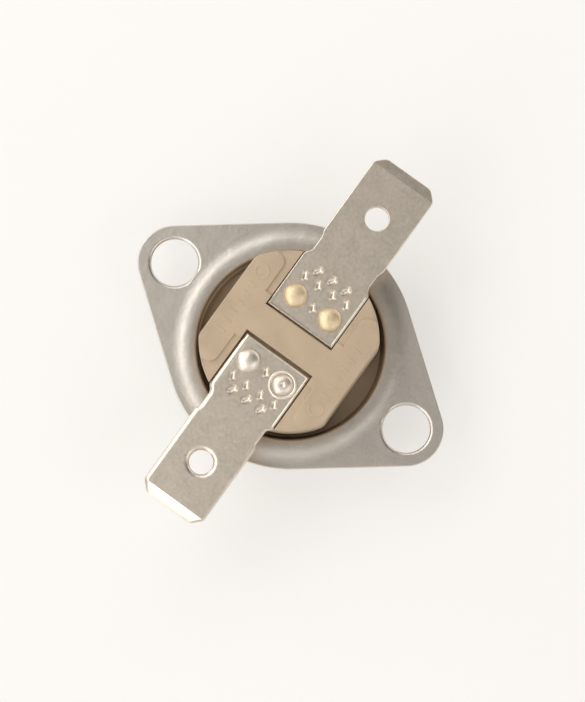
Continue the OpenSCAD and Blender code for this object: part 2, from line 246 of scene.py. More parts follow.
class Finishes(bpy.types.PropertyGroup):
    """Colours of the finishes and the floor."""

    aluminium: colour("Aluminium", "Satin drawn aluminium of the cup", "#D3CBC1")
    moulding: colour("Moulding", "Tan phenolic of the body", "#BCA68A")
    plate: colour("Tin plate", "Tin-plated brass sheet of the terminals", "#E0D5C5")
    brass: colour("Brass", "Bright brass of the domed rivets", "#E5CFAC")
    bright_plate: colour("Bright plate", "Bright tin plate of the other rivets", "#E8DDCF")
    bimetal: colour("Bimetal", "Rolled nickel-iron face of the snap disc", "#C9BE9F")
    guide: colour("Guide", "Brown phenolic of the pin guide", "#6B4F3A")
    ceramic: colour("Ceramic", "Fired steatite of the transfer pin", "#EEE6D6")
    spring: colour("Spring", "Copper-alloy strip of the spring blade", "#D09A6A")
    carrier: colour("Carrier", "Rolled brass of the contact carrier", "#DDC07A")
    silver: colour("Silver", "Silver alloy of the contact buttons", "#ECE9E4")
    floor: colour("Floor", "Matt table top", "#FAF7F3")


GROUPS = {
    "switch_cup": CupSizes,
    "switch_body": BodySizes,
    "switch_terminal": TerminalSizes,
    "switch_rivet": RivetSizes,
    "switch_finish": Finishes,
}


def in_mm(group):
    """The lengths of a property group in millimetres, and its other values as they are."""
    lengths = [key for key in group.__annotations__ if group.bl_rna.properties[key].unit == "LENGTH"]
    found = {key: getattr(group, key) for key in group.__annotations__}
    return SimpleNamespace(**{k: v / MM if k in lengths else v for k, v in found.items()})


def trace(bm, arcs, plane, closed=True):
    """A chain of edges in a plane. Each arc (u, v, radius, start, sweep, steps) is a vertex spun about
    its centre, one without steps is a corner, and straight edges join them. Returns the edges."""
    known = set(bm.edges)
    ends = []
    for u, v, radius, start, sweep, steps in arcs:
        pivot = Vector((u, v, 0))
        spoke = Vector((radius * math.cos(start), radius * math.sin(start), 0))
        first = bmesh.ops.create_vert(bm, co=plane @ (pivot + spoke))["vert"][0]
        last = first
        if steps:
            last = bmesh.ops.spin(
                bm, geom=[first], cent=plane @ pivot, axis=plane.to_3x3() @ Vector((0, 0, 1)),
                angle=sweep, steps=steps,
            )["geom_last"][0]
        ends.append((first, last))
    following = ends[1:] + ends[:1] if closed else ends[1:]
    for (_, last), (first, _) in zip(ends, following):
        bmesh.ops.contextual_create(bm, geom=[last, first])
    return [edge for edge in bm.edges if edge not in known]


def ring(bm, x, y, radius, z, steps=HOLE_STEPS):
    """A circle of edges at height z."""
    made = bmesh.ops.create_circle(
        bm, cap_ends=False, segments=steps, radius=radius, matrix=Matrix.Translation((x, y, z))
    )
    return list(dict.fromkeys(edge for vert in made["verts"] for edge in vert.link_edges))


def turned(bm, section, place, steps):
    """Spins the edges of a section a whole turn about the upright through a place. Returns the open
    edges that this leaves."""
    known = set(bm.edges) - set(section)
    # Kept in order, so that each run gives the same mesh
    verts = dict.fromkeys(vert for edge in section for vert in edge.verts)
    bmesh.ops.spin(
        bm, geom=[*verts, *section], cent=place, axis=(0, 0, 1), angle=TURN, steps=steps,
        use_merge=True,
    )
    return [edge for edge in bm.edges if edge.is_boundary and edge not in known]


def hole(bm, x, y, radius, rim):
    """The wall of a round hole with its rounded rims, each an inset and a height. Returns the loops
    that bound it on the top and on the underside."""
    corners = [(radius + inset, z, 0, 0, 0, 0) for inset, z in rim]
    place = Matrix.Translation((x, y, 0))
    section = trace(bm, corners, place @ SECTION, closed=False)
    open_edges = turned(bm, section, (x, y, 0), HOLE_STEPS)
    middle = (rim[0][1] + rim[-1][1]) / 2
    top = [edge for edge in open_edges if edge.verts[0].co.z > middle]
    return top, [edge for edge in open_edges if edge.verts[0].co.z < middle]


def fill(bm, loops, up=1):
    """Fills the flat area between loops of edges."""
    edges = [edge for loop in loops for edge in loop]
    bmesh.ops.triangle_fill(bm, use_beauty=True, edges=edges, normal=(0, 0, up))


def rolled(width, level, way=1, share=1, beyond=0):
    """Inset and height of the loops of a rounded edge that runs from a wall to a flat at a level, up or
    down. It is as deep as a share of its width. More loops can lie on the flat beyond it."""
    turns = [math.pi / 2 * i / EDGE_STEPS for i in range(EDGE_STEPS + 1)]
    loops = [
        (width * (1 - math.cos(a)), level - way * width * share * (1 - math.sin(a))) for a in turns
    ]
    if beyond:
        loops += [(width + beyond * i / EDGE_STEPS, level) for i in range(1, EDGE_STEPS + 1)]
    return loops + [(width + beyond + STRIP, level)]


def blank(bm, outline, over, below):
    """The cut edge of a flat sheet, from its outline at the foot of the upper rounding. Each rounding
    is given by the inset and height of its loops. Returns the loops that bound top and underside."""
    wall = bmesh.ops.extrude_edge_only(bm, edges=outline)["geom"]
    low = [item for item in wall if isinstance(item, bmesh.types.BMVert)]
    bmesh.ops.translate(bm, verts=low, vec=(0, 0, below[0][1] - over[0][1]))
    faces = [
        bmesh.ops.contextual_create(bm, geom=edges_at(bm, loops[0][1]))["faces"][0]
        for loops in (over, below)
    ]
    bmesh.ops.recalc_face_normals(bm, faces=bm.faces)
    for face, loops, way in zip(faces, (over, below), (1, -1)):
        for (inset, height), (next_inset, next_height) in zip(loops, loops[1:]):
            bmesh.ops.inset_region(
                bm, faces=[face], thickness=next_inset - inset,
                depth=way * (next_height - height), use_even_offset=True, use_boundary=True,
            )
    bounds = [list(face.edges) for face in faces]
    bmesh.ops.delete(bm, geom=faces, context="FACES_ONLY")
    return bounds


def mark(bm, x, y, z, straight, angle, radius, flank):
    """A bar with round ends, or a dot where it has no straight length, sunk into or raised from a flat
    face by steps inwards and up. Returns the loop that bounds it on the face."""
    known = set(bm.edges)
    plane = Matrix.Translation((x, y, z)) @ Matrix.Rotation(angle, 4, "Z")
    if straight:
        ends = [(-straight / 2, math.pi / 2), (straight / 2, -math.pi / 2)]
        arcs = [(u, 0, radius, start, math.pi, MARK_STEPS // 2) for u, start in ends]
        loop = trace(bm, arcs, plane)
    else:
        loop = ring(bm, x, y, radius, z, MARK_STEPS)
    face = bmesh.ops.contextual_create(bm, geom=loop)["faces"][0]
    if face.normal.z < 0:
        face.normal_flip()
    for inwards, up in flank:
        bmesh.ops.inset_region(
            bm, faces=[face], thickness=inwards, depth=up, use_even_offset=True, use_boundary=True
        )
    return [edge for edge in bm.edges if edge.is_boundary and edge not in known]


def edges_at(bm, z, test=lambda edge: edge.is_boundary):
    """The edges that lie at height z and pass a test."""
    return [
        e for e in bm.edges if test(e) and all(abs(v.co.z - z) < SAME for v in e.verts)
    ]


def piece(bm, name, nodes, material, crease=35):
    """Closes a mesh into a finished piece that stands for CAD nodes of the fixed body. Edges that
    turn more than the crease, in degrees, stay sharp."""
    bmesh.ops.remove_doubles(bm, verts=bm.verts, dist=SAME)
    bmesh.ops.dissolve_degenerate(bm, dist=SAME, edges=bm.edges)
    bmesh.ops.recalc_face_normals(bm, faces=bm.faces)
    loose = [edge for edge in bm.edges if len(edge.link_faces) != 2]
    if loose:
        raise RuntimeError(f"{name}: {len(loose)} edges are not shared by two faces")
    bmesh.ops.scale(bm, verts=bm.verts, vec=(MM, MM, MM))
    for face in bm.faces:
        face.smooth = True
    for edge in bm.edges:
        edge.smooth = edge.calc_face_angle() < math.radians(crease)
    mesh = bpy.data.meshes.new(name)
    bm.to_mesh(mesh)
    bm.free()
    mesh.materials.append(material)
    made = bpy.data.objects.new(name, mesh)
    bpy.context.scene.collection.objects.link(made)
    normals = made.modifiers.new("Face-weighted normals", "WEIGHTED_NORMAL")
    normals.keep_sharp = True
    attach(made, "switch")
    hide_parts(*nodes)


def add(tree, kind, inputs=None, **settings):
    """Adds a shader node with its settings; each input is a value or the output that links to it."""
    node = tree.nodes.new(kind)
    for name, value in settings.items():
        setattr(node, name, value)
    for name, value in (inputs or {}).items():
        if isinstance(value, bpy.types.NodeSocket):
            tree.links.new(value, node.inputs[name])
        else:
            node.inputs[name].default_value = value
    return node


def blank_material(name):
    """A material with a shader joined to its output. Returns the material, its tree and the shader."""
    material = bpy.data.materials.new(name)
    material.use_nodes = True
    tree = material.node_tree
    tree.nodes.clear()
    shader = add(tree, "ShaderNodeBsdfPrincipled")
    add(tree, "ShaderNodeOutputMaterial", {"Surface": shader.outputs["BSDF"]})
    return material, tree, shader


def shade(rgb, factor):
    """A colour made darker or lighter, with its alpha."""
    return [min(1, c * factor) for c in rgb] + [1]


def metal_sheet(name, rgb, cloud_mm, grain_mm, spread, roughness, relief_mm, waves_mm=0):
    """A worked metal surface. Clouds of tarnish and a fine grain from the rolls and tools vary its
    colour, the grain roughens it, and slow waves left by the forming bend its reflections. The real
    grain is finer than a picture shows, so it is drawn as coarse as it needs to show."""
    material, tree, shader = blank_material(name)
    place = add(tree, "ShaderNodeTexCoord").outputs["Object"]
    clouds = add(
        tree, "ShaderNodeTexNoise",
        {"Vector": place, "Scale": 1 / (cloud_mm * MM), "Detail": 4, "Roughness": 0.6},
    ).outputs["Fac"]
    grain = add(
        tree, "ShaderNodeTexNoise",
        {"Vector": place, "Scale": 1 / (grain_mm * MM), "Detail": 3, "Roughness": 0.55},
    ).outputs["Fac"]
    mixed = add(
        tree, "ShaderNodeMix", {"Factor": 0.5, "A": clouds, "B": grain}, data_type="FLOAT"
    ).outputs["Result"]
    tint = add(tree, "ShaderNodeValToRGB", {"Fac": mixed})
    tones = ((0.38, 1 - spread), (0.62, 1 + spread / 2))
    for stop, (position, factor) in zip(tint.color_ramp.elements, tones):
        stop.position = position
        stop.color = shade(rgb, factor)
    gloss = add(tree, "ShaderNodeMapRange", {
        "Value": grain, "From Min": 0.3, "From Max": 0.7,
        "To Min": roughness - GLOSS_SWING, "To Max": roughness + GLOSS_SWING,
    })
    waves = add(
        tree, "ShaderNodeBump", {"Height": clouds, "Strength": 1, "Distance": waves_mm * MM}
    )
    bump = add(tree, "ShaderNodeBump", {
        "Height": grain, "Strength": 1, "Distance": relief_mm * MM,
        "Normal": waves.outputs["Normal"],
    })
    shader.inputs["Metallic"].default_value = 1
    tree.links.new(tint.outputs["Color"], shader.inputs["Base Color"])
    tree.links.new(gloss.outputs["Result"], shader.inputs["Roughness"])
    tree.links.new(bump.outputs["Normal"], shader.inputs["Normal"])
    return material


def moulding(name, rgb, roughness, flow_mm=3.2, speck_mm=0.16, relief_mm=0.006):
    """A mineral-filled thermoset, or a ceramic, pressed in a tool. Specks and slow flow clouds break its
    colour, and the tool's fine spark-eroded skin leaves it satin. The real specks are finer than a
    picture shows, so they are drawn as coarse as they need to show."""
    material, tree, shader = blank_material(name)
    place = add(tree, "ShaderNodeTexCoord").outputs["Object"]
    flow = add(
        tree, "ShaderNodeTexNoise",
        {"Vector": place, "Scale": 1 / (flow_mm * MM), "Detail": 3, "Distortion": 0.6},
    ).outputs["Fac"]
    speck = add(
        tree, "ShaderNodeTexNoise",
        {"Vector": place, "Scale": 1 / (speck_mm * MM), "Detail": 2, "Roughness": 0.7},
    ).outputs["Fac"]
    mixed = add(
        tree, "ShaderNodeMix", {"Factor": 0.35, "A": flow, "B": speck}, data_type="FLOAT"
    ).outputs["Result"]
    tint = add(tree, "ShaderNodeValToRGB", {"Fac": mixed})
    tones = ((0.36, 0.9), (0.64, 1.06))
    for stop, (position, factor) in zip(tint.color_ramp.elements, tones):
        stop.position = position
        stop.color = shade(rgb, factor)
    bump = add(
        tree, "ShaderNodeBump", {"Height": speck, "Strength": 0.6, "Distance": relief_mm * MM}
    )
    shader.inputs["Roughness"].default_value = roughness
    shader.inputs["IOR"].default_value = 1.55
    tree.links.new(tint.outputs["Color"], shader.inputs["Base Color"])
    tree.links.new(bump.outputs["Normal"], shader.inputs["Normal"])
    return material


class SWITCH_OT_cup(bpy.types.Operator):
    """Model the drawn cup with its flange and finish it in satin aluminium"""

    bl_idname = "snap_switch.cup"
    bl_label = "Cup and Flange"

    def execute(self, context):
        size = in_mm(context.scene.switch_cup)
        bm = bmesh.new()
        quarter = math.pi / 2
        under = size.depth - size.sheet
        rise = size.crest_bend + size.sweep
        sweep_x = size.crest + rise * math.sin(size.lean)
        sweep_z = size.depth + size.sweep
        crest_z = sweep_z - rise * math.cos(size.lean)
        corner = size.bore + size.sheet - size.floor
        bead = size.bore + size.bead - size.bead_depth
        bite = math.acos((bead - size.bore) / size.bead)
        taper = math.asin((size.middle - size.end) / size.reach)
        arcs = []
        for side, end in ((0, size.reach), (math.pi, -size.reach)):
            arcs.append((0, 0, size.middle, side - taper, 2 * taper, CUP_STEPS.middle))
            arcs.append((0, end, size.end, side + taper, math.pi - 2 * taper, CUP_STEPS.end))
        outline = trace(bm, arcs, Matrix.Translation((0, 0, size.depth - size.roll)))
        over = rolled(size.roll, size.depth)
        below = rolled(size.roll / 2, under, -1)
        tops, unders = ([loop] for loop in blank(bm, outline, over, below))
        rim = below[::-1] + rolled(size.hole_roll, size.depth, share=ROLL_DEPTH)
        for y in (-size.reach, size.reach):
            top, low = hole(bm, 0, y, size.hole, rim)
            tops.append(top)
            unders.append(low)
        for gauge, lip, loops in ((0, size.lip, tops), (size.sheet, size.bend, unders)):
            floor = size.floor - size.sheet + gauge
            crest = size.crest_bend - gauge
            sweep = size.sweep + gauge
            lip_x = size.bore + gauge + lip
            turn = math.acos((lip_x - size.crest) / (crest - lip))
            lip_z = crest_z + (crest - lip) * math.sin(turn)
            known = set(bm.verts)
            section = trace(bm, [
                (0, size.sheet - gauge, 0, 0, 0, 0),
                (corner, size.floor, floor, -quarter, quarter, CUP_STEPS.floor),
                (bead + gauge, size.bead_height, size.bead, math.pi + bite, -2 * bite, CUP_STEPS.bead),
                (lip_x, lip_z, lip, math.pi, turn - math.pi, CUP_STEPS.lip),
                (size.crest, crest_z, crest, turn, quarter - size.lean - turn, CUP_STEPS.crest),
                (sweep_x, sweep_z, sweep, -quarter - size.lean, size.lean, CUP_STEPS.sweep),
            ], SECTION, closed=False)
            loops.append(turned(bm, section, (0, 0, 0), WIDE_STEPS))
            made = [vert for vert in bm.verts if vert not in known]
            self.pull_sides(made, size, size.depth - gauge)
        fill(bm, tops)
        fill(bm, unders, -1)
        piece(bm, "cup_and_flange", ["flanged_cup"], satin_aluminium(context))
        return {"FINISHED"}

    def pull_sides(self, verts, size, level):
        """Stretches the lip's fall to the flange, more towards the narrow sides than the ends."""
        for vert in verts:
            flat = vert.co.xy
            if flat.length > SAME and vert.co.z > level - SAME:
                stretch = 1 + size.pull * (flat.x / flat.length) ** 2
                past = max(0, flat.length - size.crest)
                vert.co.xy = flat.normalized() * (flat.length + past * (stretch - 1))
                vert.co.z = level + (vert.co.z - level) * stretch


def satin_aluminium(context):
    """Drawn aluminium sheet with a soft satin skin: broad, blurred reflections and a fine grain."""
    return metal_sheet(
        "Drawn aluminium, satin", context.scene.switch_finish.aluminium, cloud_mm=3, grain_mm=0.2,
        spread=0.06, roughness=0.32, relief_mm=0.0012, waves_mm=0.05,
    )


def tin_plate(context):
    """Brass sheet tin-plated in the coil: warm grey and mottled where the tin has crystallised."""
    return metal_sheet(
        "Tin-plated brass sheet, rolled", context.scene.switch_finish.plate, cloud_mm=1.6,
        grain_mm=0.3, spread=0.1, roughness=0.32, relief_mm=0.003, waves_mm=0.01,
    )


class SWITCH_OT_body(bpy.types.Operator):
    """Model the moulded body and finish it in tan phenolic"""

    bl_idname = "snap_switch.body"
    bl_label = "Moulded Body"

    def execute(self, context):
        size = in_mm(context.scene.switch_body)
        rivet = in_mm(context.scene.switch_rivet)
        bm = bmesh.new()
        self.plan(bm, size)
        raised = [face for face in bm.faces if not self.in_pocket(face, size)]
        raised = self.raise_faces(bm, raised, size.shelf - size.pocket)
        rails = [face for face in raised if self.in_rails(face, size)]
        self.raise_faces(bm, rails, size.rail - size.shelf)
        bmesh.ops.dissolve_limit(bm, angle_limit=ONE_FLAT, verts=bm.verts, edges=bm.edges)
        self.soften(bm, size)
        self.raised_marks(bm, size)
        self.sides_and_chamber(bm, size, rivet)
        piece(bm, "moulded_body", ["body"], tan_phenolic(context))
        return {"FINISHED"}

    def plan(self, bm, size):
        """The body seen from above, cut along the sides of its pockets, rails and web."""
        inset = size.radius - size.corner
        corner_y = size.flats - size.corner
        corner_x = math.sqrt(inset * inset - corner_y * corner_y)
        turn = math.atan2(corner_y, corner_x)
        half = math.pi / 2
        arcs = []
        for side, x, y in ((0, corner_x, corner_y), (math.pi, -corner_x, -corner_y)):
            arcs.append((0, 0, size.radius, side - turn, 2 * turn, BODY_STEPS.side))
            arcs.append((x, y, size.corner, side + turn, half - turn, BODY_STEPS.corner))
            arcs.append((-x, y, size.corner, side + half, half - turn, BODY_STEPS.corner))
        outline = trace(bm, arcs, Matrix.Translation((0, 0, size.pocket)))
        bmesh.ops.contextual_create(bm, geom=outline)
        cuts = [(Vector((1, 0, 0)), x) for x in (size.bar, size.web, size.rail_end)]
        cuts += [(Vector((0, 1, 0)), y) for y in (size.pocket_side, size.rail_side)]
        for normal, reach in cuts:
            for side in (-1, 1):
                bmesh.ops.bisect_plane(
                    bm, geom=bm.verts[:] + bm.edges[:] + bm.faces[:], dist=SAME,
                    plane_co=normal * reach * side, plane_no=normal,
                )

    def in_pocket(self, face, size):
        """Whether a face of the plan lies in a pocket."""
        middle = face.calc_center_median()
        return abs(middle.x) > size.bar and abs(middle.y) < size.pocket_side

    def in_rails(self, face, size):
        """Whether a face of the plan lies in a rail or in the web between the rails."""
        middle = face.calc_center_median()
        on_rail = abs(middle.y) > size.rail_side and abs(middle.x) < size.rail_end
        return on_rail or abs(middle.x) < size.web

    def soften(self, bm, size):
        """Rounds the rails' inner corners and then the moulded edges above the pockets' floors."""
        upright = [
            e for e in bm.edges
            if abs(e.verts[0].co.x - e.verts[1].co.x) < SAME
            and abs(e.verts[0].co.y - e.verts[1].co.y) < SAME
            and abs(abs(e.verts[0].co.x) - size.rail_end) < SAME
            and abs(abs(e.verts[0].co.y) - size.rail_side) < SAME
        ]
        bmesh.ops.bevel(
            bm, geom=upright, offset=size.rail_corner, affect="EDGES", segments=EDGE_STEPS,
            profile=0.5, material=-1,
        )
        sharp = [
            e for e in bm.edges
            if len(e.link_faces) == 2 and e.calc_face_angle() > SHARP_EDGE
            and min(v.co.z for v in e.verts) > size.pocket + SAME
            and abs(e.verts[0].co.z - e.verts[1].co.z) < SAME
        ]
        bmesh.ops.bevel(
            bm, geom=sharp, offset=size.soft, affect="EDGES", segments=SOFT_STEPS, profile=0.5,
            material=-1,
        )

    def raise_faces(self, bm, faces, height):
        """Raises a region of faces on new walls. Returns the raised faces."""
        made = bmesh.ops.extrude_face_region(bm, geom=faces)["geom"]
        bmesh.ops.delete(bm, geom=[f for f in faces if f.is_valid], context="FACES")
        moved = [item for item in made if isinstance(item, bmesh.types.BMVert)]
        bmesh.ops.translate(bm, verts=moved, vec=(0, 0, height))
        return [item for item in made if isinstance(item, bmesh.types.BMFace)]

    def raised_marks(self, bm, size):
        """Plain ticks and a ring in low relief on the two rails."""
        top = max(
            (f for f in bm.faces if all(abs(v.co.z - size.rail) < SAME for v in f.verts)),
            key=lambda f: f.calc_area(),
        )
        loops = [list(top.edges)]
        bmesh.ops.delete(bm, geom=[top], context="FACES_ONLY")
        foot, crown = 0.7 * size.relief, 0.3 * size.relief
        tick = [(RELIEF_STEP, foot), (RELIEF_STEP, crown)]
        circle = tick + [(RING_FLAT, 0), (RELIEF_STEP, -crown), (RELIEF_STEP, -foot)]
        across = math.pi / 2
        for side in (-1, 1):
            y = side * (size.rail_side + size.flats) / 2
            loops.append(mark(bm, side * RING_PLACE, y, size.rail, 0, 0, RING_RADIUS, circle))
            loops += [
                mark(bm, side * x, y, size.rail, TICK_LENGTH, across, TICK_RADIUS, tick)
                for x in TICK_PLACES
            ]
        fill(bm, loops)

    def sides_and_chamber(self, bm, size, rivet):
        """Adds the sides, the base and the chamber under the top, with the rivet holes."""
        floors = [
            f for f in bm.faces if all(abs(v.co.z - size.pocket) < SAME for v in f.verts)
        ]
        floor_edges = [list(f.edges) for f in floors]
        bmesh.ops.delete(bm, geom=floors, context="FACES_ONLY")
        outline = edges_at(
            bm, size.pocket, lambda e: len(e.link_faces) < 2 and self.outside(e, size)
        )
        wall = bmesh.ops.extrude_edge_only(bm, edges=outline)["geom"]
        low = [item for item in wall if isinstance(item, bmesh.types.BMVert)]
        bmesh.ops.translate(bm, verts=low, vec=(0, 0, size.shoulder - size.pocket))
        shoulder = [item for item in wall if isinstance(item, bmesh.types.BMEdge)]
        shoulder = [e for e in shoulder if abs(e.verts[0].co.z - e.verts[1].co.z) < SAME]
        seat = ring(bm, 0, 0, size.seat, size.shoulder, WIDE_STEPS)
        fill(bm, [shoulder, seat])
        foot = ring(bm, 0, 0, size.seat, size.foot, WIDE_STEPS)
        bmesh.ops.bridge_loops(bm, edges=seat + foot)
        turn = math.asin(size.chamber_side / size.chamber)
        arcs = [
            (0, 0, size.chamber, side - turn, 2 * turn, BODY_STEPS.chamber) for side in (0, math.pi)
        ]
        mouth = trace(bm, arcs, Matrix.Translation((0, 0, size.foot)))
        ceiling = trace(bm, arcs, Matrix.Translation((0, 0, size.ceiling)))
        fill(bm, [foot, mouth], -1)
        bmesh.ops.bridge_loops(bm, edges=mouth + ceiling)
        roof = [ceiling]
        for edges in floor_edges:
            side = 1 if sum(e.verts[0].co.x for e in edges) > 0 else -1
            floor = [edges]
            for y in (-rivet.spread, rivet.spread):
                rim = [(0, size.ceiling), (0, size.pocket)]
                top, low = hole(bm, side * rivet.reach, y, rivet.hole, rim)
                floor.append(top)
                roof.append(low)
            fill(bm, floor)
        fill(bm, roof, -1)

    def outside(self, edge, size):
        """Whether an edge lies on the body's outline."""
        middle = (edge.verts[0].co + edge.verts[1].co) / 2
        return middle.xy.length > size.radius - CHORD or abs(middle.y) > size.rail_side


def tan_phenolic(context):
    """Phenolic moulding compound, pressed in a steel tool: warm tan, satin, faintly specked."""
    return moulding("Tan phenolic, moulded", context.scene.switch_finish.moulding, roughness=0.42)


class SWITCH_OT_terminals(bpy.types.Operator):
    """Model the two spade terminals and finish them in tin plate"""

    bl_idname = "snap_switch.terminals"
    bl_label = "Terminals"

    def execute(self, context):
        size = in_mm(context.scene.switch_terminal)
        material = tin_plate(context)
        plain = SimpleNamespace(width=size.plain, depth=1, rim=size.rim, inner=1, tight=1)
        by_die = SimpleNamespace(
            width=size.roll, depth=ROLL_DEPTH, rim=size.rolled_rim, inner=0.15, tight=0.45
        )
        for name, node, turn, edge in (
            ("arm_spade", "arm_terminal", 0, plain),
            ("contact_spade", "contact_terminal", math.pi, by_die),
        ):
            self.terminal(context, name, node, turn, edge, material)
        return {"FINISHED"}

    def terminal(self, context, name, node, turn, edge, material):
        """One stamping along +X, then turned to its side of the body. Its upper edge has a width, a
        depth as a share of that, a rim round the pad, the share of the rim at the pad's inner end, and
        the share of the width at that end and at the side that lies at +Y before the turn."""
        size = in_mm(context.scene.switch_terminal)
        rivet = in_mm(context.scene.switch_rivet)
        bm = bmesh.new()
        under = size.top - size.sheet
        over = rolled(edge.width, size.top, share=edge.depth, beyond=RIM_REACH)
        # The pad narrows to the waist at 45 degrees, and the tab widens again at half that slope
        pad_step = size.pad - size.waist
        tab_step = 2 * (size.tab - size.waist)
        side = [
            (size.start, size.pad),
            (size.pad_end, size.pad),
            (size.pad_end + pad_step, size.waist),
            (size.waist_end - tab_step, size.waist),
            (size.waist_end, size.tab),
            (size.tip - size.cut, size.tab),
            (size.tip, size.tab - size.cut),
        ]
        corners = side + [(x, -y) for x, y in reversed(side)]
        arcs = [(x, y, 0, 0, 0, 0) for x, y in reversed(corners)]
        trace(bm, arcs, Matrix.Translation((0, 0, over[0][1])))
        slanted = [vert for vert in bm.verts if vert.co.x > size.start + SAME]
        step = [vert for vert in slanted if abs(vert.co.x - size.waist_end) < tab_step + SAME]
        others = [vert for vert in slanted if vert not in step]
        for verts, reach in ((others, size.corner), (step, size.step_corner)):
            bmesh.ops.bevel(
                bm, geom=verts, offset=reach, affect="VERTICES", segments=CORNER_STEPS, profile=0.5,
                material=-1,
            )
        below = rolled(size.plain, under, -1)
        tops, unders = ([loop] for loop in blank(bm, bm.edges[:], over, below))
        self.raise_rim(bm, size, edge)
        self.tighten(bm, side, over[-1][0] + SAME, edge.tight)
        holes = [(size.detent_reach, 0, size.detent, below[::-1] + over)]
        plain = [(0, under), (0, size.top)]
        holes += [(rivet.reach, y, rivet.hole, plain) for y in (-rivet.spread, rivet.spread)]
        for x, y, radius, wall in holes:
            top, low = hole(bm, x, y, radius, wall)
            tops.append(top)
            unders.append(low)
        tops += self.marks(bm, size)
        fill(bm, tops)
        fill(bm, unders, -1)
        self.coin_tip(bm, size)
        bmesh.ops.rotate(
            bm, verts=bm.verts, cent=(0, 0, 0), matrix=Matrix.Rotation(turn, 3, "Z")
        )
        piece(bm, name, [node], material, crease=14)

    def raise_rim(self, bm, size, edge):
        """Lifts the pad's upper edge into a low rim, lower at the inner end and gone at the waist."""
        for vert in bm.verts:
            if vert.co.z > size.top - size.sheet / 2:
                inset = min(size.pad - abs(vert.co.y), vert.co.x - size.start)
                fall = min(1, max(0, (inset - edge.width) / RIM_REACH))
                far = min(1, (vert.co.x - size.start) / (2 * (edge.width + RIM_REACH)))
                share = min(1, max(0, size.pad_end - vert.co.x))
                share *= edge.inner + (1 - edge.inner) * far ** RIM_RISE
                vert.co.z += edge.rim * share * (1 + math.cos(math.pi * fall)) / 2

    def tighten(self, bm, side, reach, share):
        """Draws the loops within reach of the inner end and of the side at +Y closer to that edge."""
        start = side[0][0]
        for vert in bm.verts:
            near, far = next(
                (a, b) for a, b in zip(side, side[1:]) if vert.co.x <= b[0] + SAME
            )
            rise = (far[1] - near[1]) / max(far[0] - near[0], SAME)
            edge = near[1] + rise * (vert.co.x - near[0])
            if edge - vert.co.y < reach:
                vert.co.y = edge - share * (edge - vert.co.y)
            if vert.co.x - start < reach:
                vert.co.x = start + share * (vert.co.x - start)

    def marks(self, bm, size):
        """Plain punched bars and dots on the pad. Returns the loops that bound them on the top."""
        radius = size.mark_width / 2
        shares = [1 - i / BOWL_STEPS for i in range(BOWL_STEPS)]
        bowl = [(share, 1 - share ** 2) for share in shares]
        flank = [
            (radius * (near[0] - far[0]), size.mark * (near[1] - far[1]))
            for near, far in zip(bowl, bowl[1:])
        ]
        return [
            mark(bm, x, y, size.top, MARK_LENGTH, angle, radius, flank)
            for x, angle, row in MARK_ROWS for y in row
        ]

    def coin_tip(self, bm, size):
        """Thins the sheet towards the tip from both faces."""
        start = size.tip - size.bevel
        middle = size.top - size.sheet / 2
        bmesh.ops.bisect_plane(
            bm, geom=bm.verts[:] + bm.edges[:] + bm.faces[:], dist=SAME,
            plane_co=(start, 0, 0), plane_no=(1, 0, 0),
        )
        for vert in bm.verts:
            share = (vert.co.x - start) / size.bevel
            if share > 0:
                thin = 1 - share * (1 - size.tip_sheet / size.sheet)
                vert.co.z = middle + (vert.co.z - middle) * thin


